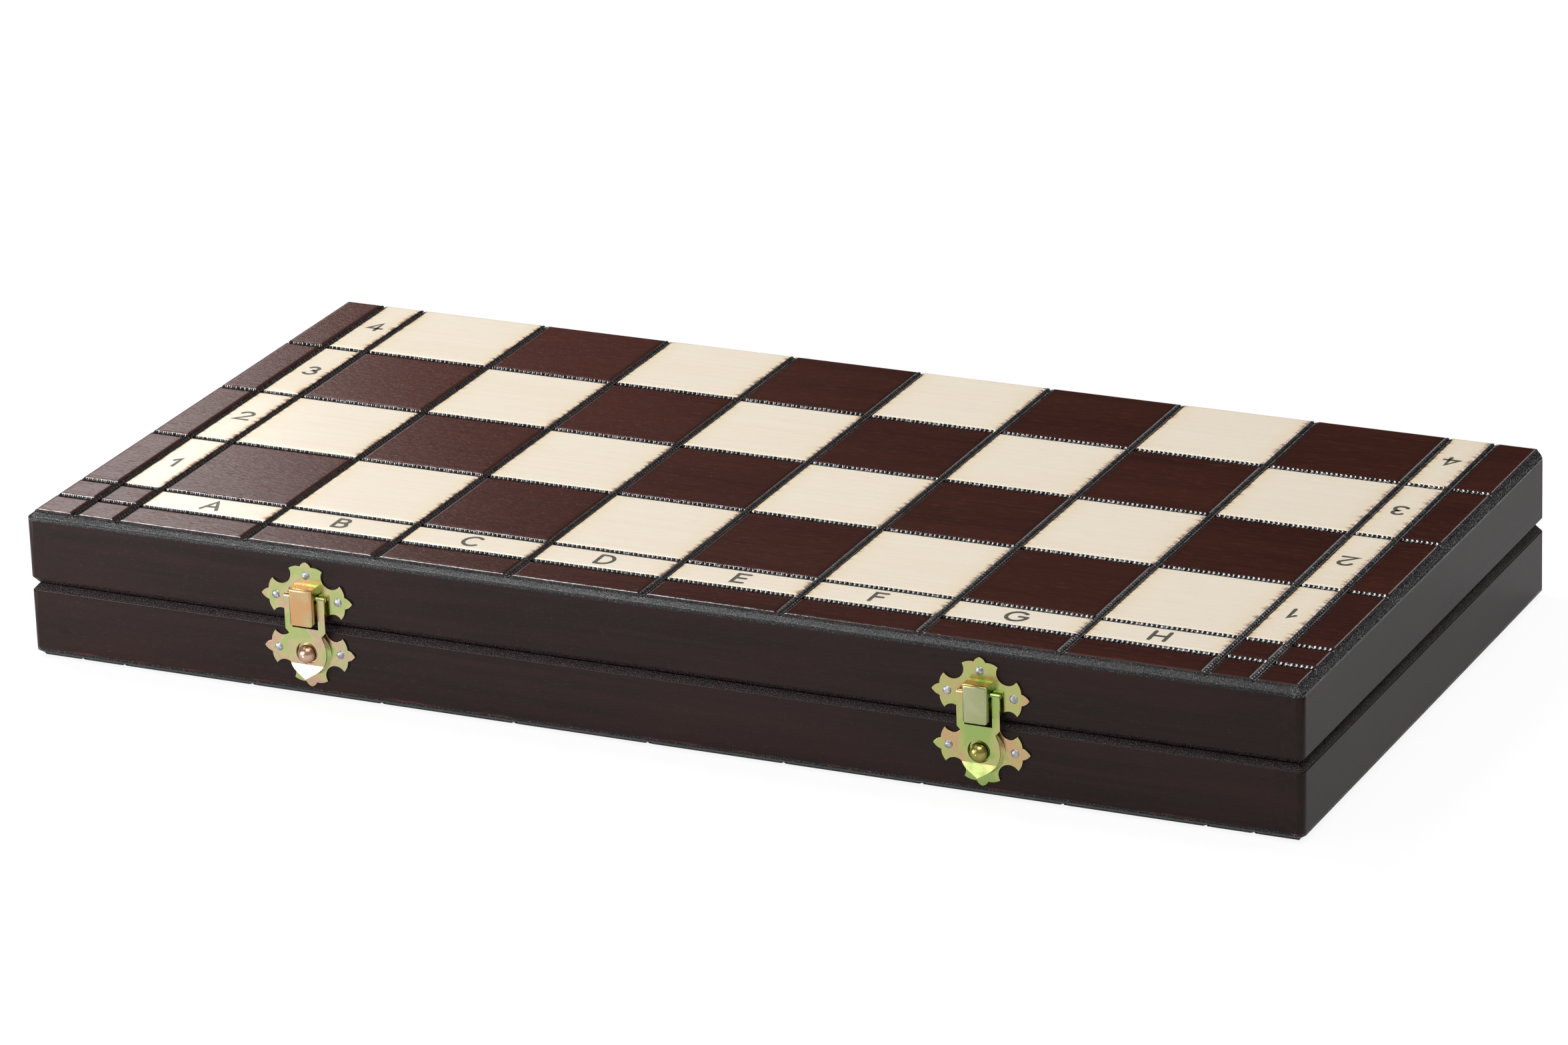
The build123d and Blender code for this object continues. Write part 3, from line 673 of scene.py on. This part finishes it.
def stroke_faces(points, width):
    """A flat band along a row of points, closed or with round ends: its vertices and its faces."""
    closed = (Vector(points[0]) - Vector(points[-1])).length < 1e-6
    row = [Vector(p) for p in (points[:-1] if closed else points)]
    count = len(row)
    vertices, faces = [], []
    for n, point in enumerate(row):
        ways = []
        if n or closed:
            ways.append((point - row[n - 1]).normalized())
        if n < count - 1 or closed:
            ways.append((row[(n + 1) % count] - point).normalized())
        way = sum(ways, Vector((0, 0))).normalized()
        stretch = 1 / max(0.55, way.dot(ways[0]))
        across = Vector((-way.y, way.x)) * width / 2 * stretch
        vertices += [point + across, point - across]
    for n in range(count if closed else count - 1):
        a, b = 2 * n, 2 * ((n + 1) % count)
        faces.append((a, a + 1, b + 1, b))
    if closed:
        return vertices, faces
    last = 2 * count - 2
    for end, neighbour, corners in ((row[0], row[1], [1, 0]), (row[-1], row[-2], [last, last + 1])):
        out = (end - neighbour).normalized()
        side = Vector((-out.y, out.x))
        cap = []
        for k in range(1, cap_steps):
            angle = math.pi * k / cap_steps
            cap.append(len(vertices))
            vertices.append(end + (out * math.sin(angle) - side * math.cos(angle)) * width / 2)
        faces.append(tuple(corners + cap))
    return vertices, faces


def make_glyphs(name, half, labels, material):
    """Stamped characters. labels holds (character, x, y, upside down), as seen from outside the half."""
    stamped = bmesh.new()
    outward = 1 if half == "lid" else -1
    for character, x, y, turned in labels:
        flip = -1 if turned else 1
        for level, stroke in enumerate(glyphs[character]):
            path = [(px * glyph_height, (py - 0.5) * glyph_height) for px, py in stroke]
            points, faces = stroke_faces(path, glyph_stroke)
            relief = glyph_relief + level * stroke_lift
            made = []
            for point in points:
                place = on_board(half, x + flip * point.x, y + outward * flip * point.y, -relief)
                made.append(stamped.verts.new(place))
            flat = [stamped.faces.new([made[i] for i in face]) for face in faces]
            skirt = bmesh.ops.extrude_face_region(stamped, geom=flat)["geom"]
            lower = [v for v in skirt if isinstance(v, bmesh.types.BMVert)]
            step = Vector((0, 0, -outward * (relief + glyph_root)))
            bmesh.ops.translate(stamped, verts=lower, vec=step)
    bmesh.ops.recalc_face_normals(stamped, faces=stamped.faces)
    add_piece(mesh_from(name, stamped), [material], half, (), 50)


def make_labels(half, material):
    """Letters along the outer edge and numbers up both sides, each facing the nearer player."""
    letter_y = letter_line + strip_width / 2
    letters = []
    for column, character in enumerate("ABCDEFGH"):
        letters.append((character, (column + 0.5) * square - board_half, letter_y, half == "base"))
    make_glyphs(f"{half}_letters", half, letters, material)
    number_x = board_half + strip_width / 2
    numbers = []
    for row in range(ranks_per_half):
        y = first_rank_y + (row + 0.5) * square
        character = str(row + 1) if half == "lid" else str(files - row)
        numbers += [(character, -number_x, y, False), (character, number_x, y, True)]
    make_glyphs(f"{half}_numbers", half, numbers, material)


# ------------------------------------------------------------------ felt, nails


def make_felt(half, material):
    """A glued sheet of felt, with soft cut edges and a slightly uneven nap."""
    low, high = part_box(f"{half}_lining")
    face_z, glued_z = (high.z, low.z) if half == "base" else (low.z, high.z)
    up = 1 if half == "base" else -1
    width = felt_columns + 1
    vertices, faces = [], []
    for j in range(felt_rows + 1):
        for i in range(width):
            x = low.x + (high.x - low.x) * i / felt_columns
            y = low.y + (high.y - low.y) * j / felt_rows
            wave = math.sin(x * 61 + 2.1 * math.sin(y * 43)) * math.sin(y * 57 + 1.3)
            edge = i in (0, felt_columns) or j in (0, felt_rows)
            drop = felt_edge_drop if edge else felt_nap_drop - wave * felt_ripple
            vertices.append((x, y, face_z - up * drop))
    for j in range(felt_rows):
        for i in range(felt_columns):
            a = j * width + i
            faces.append((a, a + 1, a + width + 1, a + width))
    ring = list(range(width))
    ring += [j * width + felt_columns for j in range(1, felt_rows + 1)]
    ring += [felt_rows * width + i for i in range(felt_columns - 1, -1, -1)]
    ring += [j * width for j in range(felt_rows - 1, 0, -1)]
    base = len(vertices)
    vertices += [(vertices[i][0], vertices[i][1], glued_z) for i in ring]
    for n in range(len(ring)):
        m = (n + 1) % len(ring)
        faces.append((ring[m], ring[n], base + n, base + m))
    faces.append(tuple(base + n for n in reversed(range(len(ring)))))
    if half == "lid":
        faces = [tuple(reversed(face)) for face in faces]
    mesh = mesh_of(f"{half}_felt", vertices, faces)
    felt = add_piece(mesh, [material], half, [f"{half}_lining"], 40)


def islands(node):
    """The low and high corner of every separate solid of a CAD node."""
    joined = bmesh.new()
    joined.from_mesh(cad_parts[node].data)
    bmesh.ops.remove_doubles(joined, verts=joined.verts, dist=1e-6)
    left, found = set(joined.verts), []
    while left:
        group, edge = [], [left.pop()]
        while edge:
            vertex = edge.pop()
            group.append(vertex.co.copy())
            for other in (e.other_vert(vertex) for e in vertex.link_edges):
                if other in left:
                    left.remove(other)
                    edge.append(other)
        low = Vector([min(c[k] for c in group) for k in range(3)])
        high = Vector([max(c[k] for c in group) for k in range(3)])
        found.append((low, high))
    joined.free()
    return found


def lathe(profile, sides):
    """Vertices and faces of a form turned about its own Z from (radius, height) pairs.

    The first pair lies on the axis, and a flat face closes the ring of the last one.
    """
    vertices = [(0, 0, profile[0][1])]
    faces = []
    for radius, height in profile[1:]:
        for k in range(sides):
            turn = math.tau * k / sides
            vertices.append((radius * math.cos(turn), radius * math.sin(turn), height))
    for k in range(sides):
        after = (k + 1) % sides
        faces.append((0, 1 + k, 1 + after))
        for ring in range(len(profile) - 2):
            a, b = 1 + ring * sides, 1 + (ring + 1) * sides
            faces.append((a + k, b + k, b + after, a + after))
    last = 1 + (len(profile) - 2) * sides
    faces.append(tuple(last + k for k in reversed(range(sides))))
    return vertices, faces


def make_nails(node, body, outward, head, material):
    """Round nails in place of a node's faceted ones, each leaning a little its own way."""
    outward = Vector(outward)
    turned = outward.to_track_quat("Z", "Y").to_matrix()
    crown = head[0][1]
    vertices, faces = [], []
    solids = sorted(islands(node), key=lambda box: (box[0].x, box[0].z, box[0].y))
    for number, (low, high) in enumerate(solids):
        length = abs((high - low).dot(outward))
        seat = (low + high) / 2 + outward * (length / 2 - crown * mm)
        tip = crown - length / mm
        neck = head[-1][1]
        profile = head + [(nail_shank, neck), (nail_shank, tip + nail_point), (nail_point_radius, tip)]
        points, quads = lathe([(r * mm, h * mm) for r, h in profile], nail_sides)
        sideways = Matrix.Rotation(nail_lean * math.sin(7 * number + 1), 3, "X")
        lean = sideways @ Matrix.Rotation(nail_lean * math.cos(5 * number), 3, "Y")
        start = len(vertices)
        vertices += [tuple(seat + turned @ (lean @ Vector(p))) for p in points]
        faces += [tuple(start + i for i in quad) for quad in quads]
    add_piece(mesh_of(f"{node}_round", vertices, faces), [material], body, [node], 45)


# ------------------------------------------------------------------ CAD nodes that stay


def dress(nodes, material, edge):
    """Gives CAD nodes a material and soft edges."""
    for name in nodes:
        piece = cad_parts[name]
        piece.data.materials.clear()
        piece.data.materials.append(material)
        weld = piece.modifiers.new("join faces", "WELD")
        weld.merge_threshold = 1e-6
        bevel = piece.modifiers.new("soft edges", "BEVEL")
        bevel.width = edge
        bevel.segments = 2
        bevel.limit_method = "ANGLE"
        bevel.angle_limit = math.radians(32)
        bevel.use_clamp_overlap = True
        bevel.harden_normals = True


# ------------------------------------------------------------------ the object

halves = ("base", "lid")
rails = [f"{half}_{side}_rail" for half in halves for side in ("front", "back", "left", "right")]
dress(rails, rail_material(), rail_edge)

brass_tones = [(0.62, 0.43, 0.17), (0.72, 0.53, 0.24), (0.66, 0.50, 0.24)]
brass = plating_material("hinge_brass", brass_tones, 0.24)
hinge_parts = ("base_leaf", "lid_leaf", "pin")
dress([f"{side}_hinge_{part}" for side in ("left", "right") for part in hinge_parts], brass, hinge_edge)

plate_tones = {
    "left": [(0.46, 0.53, 0.21), (0.58, 0.53, 0.27), (0.65, 0.42, 0.31), (0.54, 0.51, 0.28)],
    "right": [(0.36, 0.48, 0.15), (0.48, 0.52, 0.19), (0.52, 0.50, 0.20), (0.62, 0.41, 0.22)],
}
# the third tint of each side is painted shade for the housing's up-facing faces
housing_tones_and_top_shade = {
    "left": [(0.66, 0.38, 0.18), (0.60, 0.44, 0.23), (0.36, 0.17, 0.07)],
    "right": [(0.41, 0.44, 0.22), (0.48, 0.50, 0.29), (0.33, 0.19, 0.05)],
}
knob_tones = {
    "left": [(0.58, 0.34, 0.22), (0.66, 0.44, 0.34)],
    "right": [(0.42, 0.35, 0.11), (0.34, 0.33, 0.09)],
}
for side, tones in plate_tones.items():
    plate_low, plate_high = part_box(f"{side}_latch_upper_plate")
    middle = (plate_low.x + plate_high.x) / 2
    plating = plating_material(f"{side}_latch_plating", tones, 0.22, 110, middle)
    pressed_with_top_shade = plating_material(f"{side}_housing_plating_top_shade", tones, 0.22, 110, middle, housing_tones_and_top_shade[side])
    polish = plating_material(f"{side}_knob_polish", knob_tones[side], 0.26, 300)
    dress([f"{side}_latch_lower_plate", f"{side}_latch_hasp"], plating, latch_edge)
    dress([f"{side}_latch_upper_plate"], pressed_with_top_shade, latch_edge)
    dress([f"{side}_latch_knob"], polish, knob_edge)

marks = groove_material()
rough_edge = rough_edge_material()
ink = ink_material()
felt = felt_material()
zinc = nail_material()
for half in halves:
    make_board(half, board_material(half), rough_edge)
    make_teeth(half, marks)
    make_labels(half, ink)
    make_felt(half, felt)
    inward = (0, 0, 1 if half == "base" else -1)
    make_nails(f"{half}_latch_nails", half, (0, -1, 0), latch_head, zinc)
    make_nails(f"{half}_hinge_nails", half, inward, hinge_head, brass)

# ------------------------------------------------------------------ studio

camera_place = (0.8621, -1.8096, 0.7981)
camera_right = Vector((0.90743, 0.41892, -0.03289))
camera_forward = Vector((-0.4022, 0.84319, -0.35675))
focal_length_pixels = 10989.3
frame_width_pixels = 2352
sensor_width = 36.0

camera_data = bpy.data.cameras.new("camera")
camera_data.sensor_width = sensor_width
camera_data.lens = focal_length_pixels / frame_width_pixels * sensor_width
camera_data.clip_end = 60
camera_up = camera_right.cross(camera_forward)
axes = Matrix((camera_right, camera_up, -camera_forward)).transposed()
camera = placed("camera", camera_data)
camera.matrix_world = Matrix.Translation(camera_place) @ axes.to_4x4()
bpy.context.scene.camera = camera


def soft_light(name, place, target, width, height, power):
    """A rectangular studio light that faces a point."""
    data = bpy.data.lights.new(name, "AREA")
    data.shape = "RECTANGLE"
    data.size = width
    data.size_y = height
    data.energy = power
    light = placed(name, data)
    light.location = place
    light.rotation_mode = "QUATERNION"
    light.rotation_quaternion = (Vector(target) - Vector(place)).to_track_quat("-Z", "Y")


soft_light("left softbox", (-0.62, 0.18, 0.98), (-0.1, 0, 0), 0.26, 0.45, 7.5)
soft_light("edge light", (-0.65, -0.3, 1.0), (-0.15, -0.1, 0), 0.24, 0.35, 0.6)
soft_light("right strip", (0.62, 0.2, 1.0), (0, 0, 0), 0.2, 0.25, 1.4)
soft_light("back right panel", (0.4, 2.5, 1.55), (0, 0, 0), 1.0, 0.6, 4.0)
soft_light("high softbox", (0.4, -0.75, 2.0), (0, 0, 0), 1.4, 1.4, 20)
soft_light("back panel", (-3.8, 4.42, 2.6), (-0.15, -0.05, 0), 1.95, 1.6, 16)
soft_light("front panel", (-0.58, -1.2, 0.55), (-0.1, -0.1, 0), 0.6, 0.45, 1.7)
soft_light("near panel", (-0.5, -0.52, 0.12), (-0.15, -0.1, 0.03), 0.3, 0.2, 1.9)


def ray_share(tree, shares):
    """A sum of the kinds of ray, each with its share, such as {"Is Camera Ray": 1}."""
    path = tree.nodes.new("ShaderNodeLightPath")
    total = None
    for kind, share in shares.items():
        part = tree.nodes.new("ShaderNodeMath")
        part.operation = "MULTIPLY_ADD"
        tree.links.new(path.outputs[kind], part.inputs[0])
        part.inputs[1].default_value = share
        part.inputs[2].default_value = 0
        if total is not None:
            tree.links.new(total, part.inputs[2])
        total = part.outputs[0]
    return total


def make_floor():
    """A pale floor that shows white, but keeps the object's soft shadow."""
    grey = 0.68
    white_glow = 1.12
    size = 12
    material = bpy.data.materials.new("pale_floor")
    material.use_nodes = True
    tree = material.node_tree
    plain = tree.nodes["Principled BSDF"]
    plain.inputs["Base Color"].default_value = (grey, grey, grey, 1)
    plain.inputs["Roughness"].default_value = 0.9
    plain.inputs["Specular IOR Level"].default_value = 0.1
    glow = tree.nodes.new("ShaderNodeEmission")
    glow.inputs["Strength"].default_value = white_glow
    blend = tree.nodes.new("ShaderNodeMixShader")
    whiteness = ray_share(tree, {"Is Camera Ray": 0.8, "Is Glossy Ray": 0.3, "Is Transmission Ray": 0.3})
    tree.links.new(whiteness, blend.inputs[0])
    tree.links.new(plain.outputs[0], blend.inputs[1])
    tree.links.new(glow.outputs[0], blend.inputs[2])
    tree.links.new(blend.outputs[0], tree.nodes["Material Output"].inputs["Surface"])
    corners = [(-size, -size, 0), (size, -size, 0), (size, size, 0), (-size, size, 0)]
    mesh = mesh_of("floor", corners, [(0, 1, 2, 3)])
    mesh.materials.append(material)
    floor = placed("floor", mesh)


def make_world():
    """White behind the object; for light and gloss a dim grey room, paler in front than at the back."""
    front, back = -0.3, 0.4  # how far back a direction points, where the room's grey starts and ends
    front_grey, back_grey = 0.35, 0.012
    room_light = 0.12
    world = bpy.data.worlds.new("studio")
    world.use_nodes = True
    tree = world.node_tree
    white = tree.nodes["Background"]
    white.inputs["Color"].default_value = (1, 1, 1, 1)
    direction = tree.nodes.new("ShaderNodeTexCoord")
    split = tree.nodes.new("ShaderNodeSeparateXYZ")
    tree.links.new(direction.outputs["Generated"], split.inputs[0])
    room = tree.nodes.new("ShaderNodeMapRange")
    room.interpolation_type = "SMOOTHSTEP"
    for place, value in enumerate((front, back, front_grey, back_grey), 1):
        room.inputs[place].default_value = value
    tree.links.new(split.outputs[1], room.inputs[0])
    glossy = tree.nodes.new("ShaderNodeMath")
    glossy.operation = "MULTIPLY"
    tree.links.new(ray_share(tree, {"Is Glossy Ray": 1, "Is Transmission Ray": 1}), glossy.inputs[0])
    tree.links.new(room.outputs[0], glossy.inputs[1])
    total = tree.nodes.new("ShaderNodeMath")
    total.operation = "ADD"
    tree.links.new(glossy.outputs[0], total.inputs[0])
    tree.links.new(ray_share(tree, {"Is Camera Ray": 1, "Is Diffuse Ray": room_light}), total.inputs[1])
    tree.links.new(total.outputs[0], white.inputs["Strength"])
    bpy.context.scene.world = world


make_floor()
make_world()
bpy.context.scene.view_settings.view_transform = "Standard"
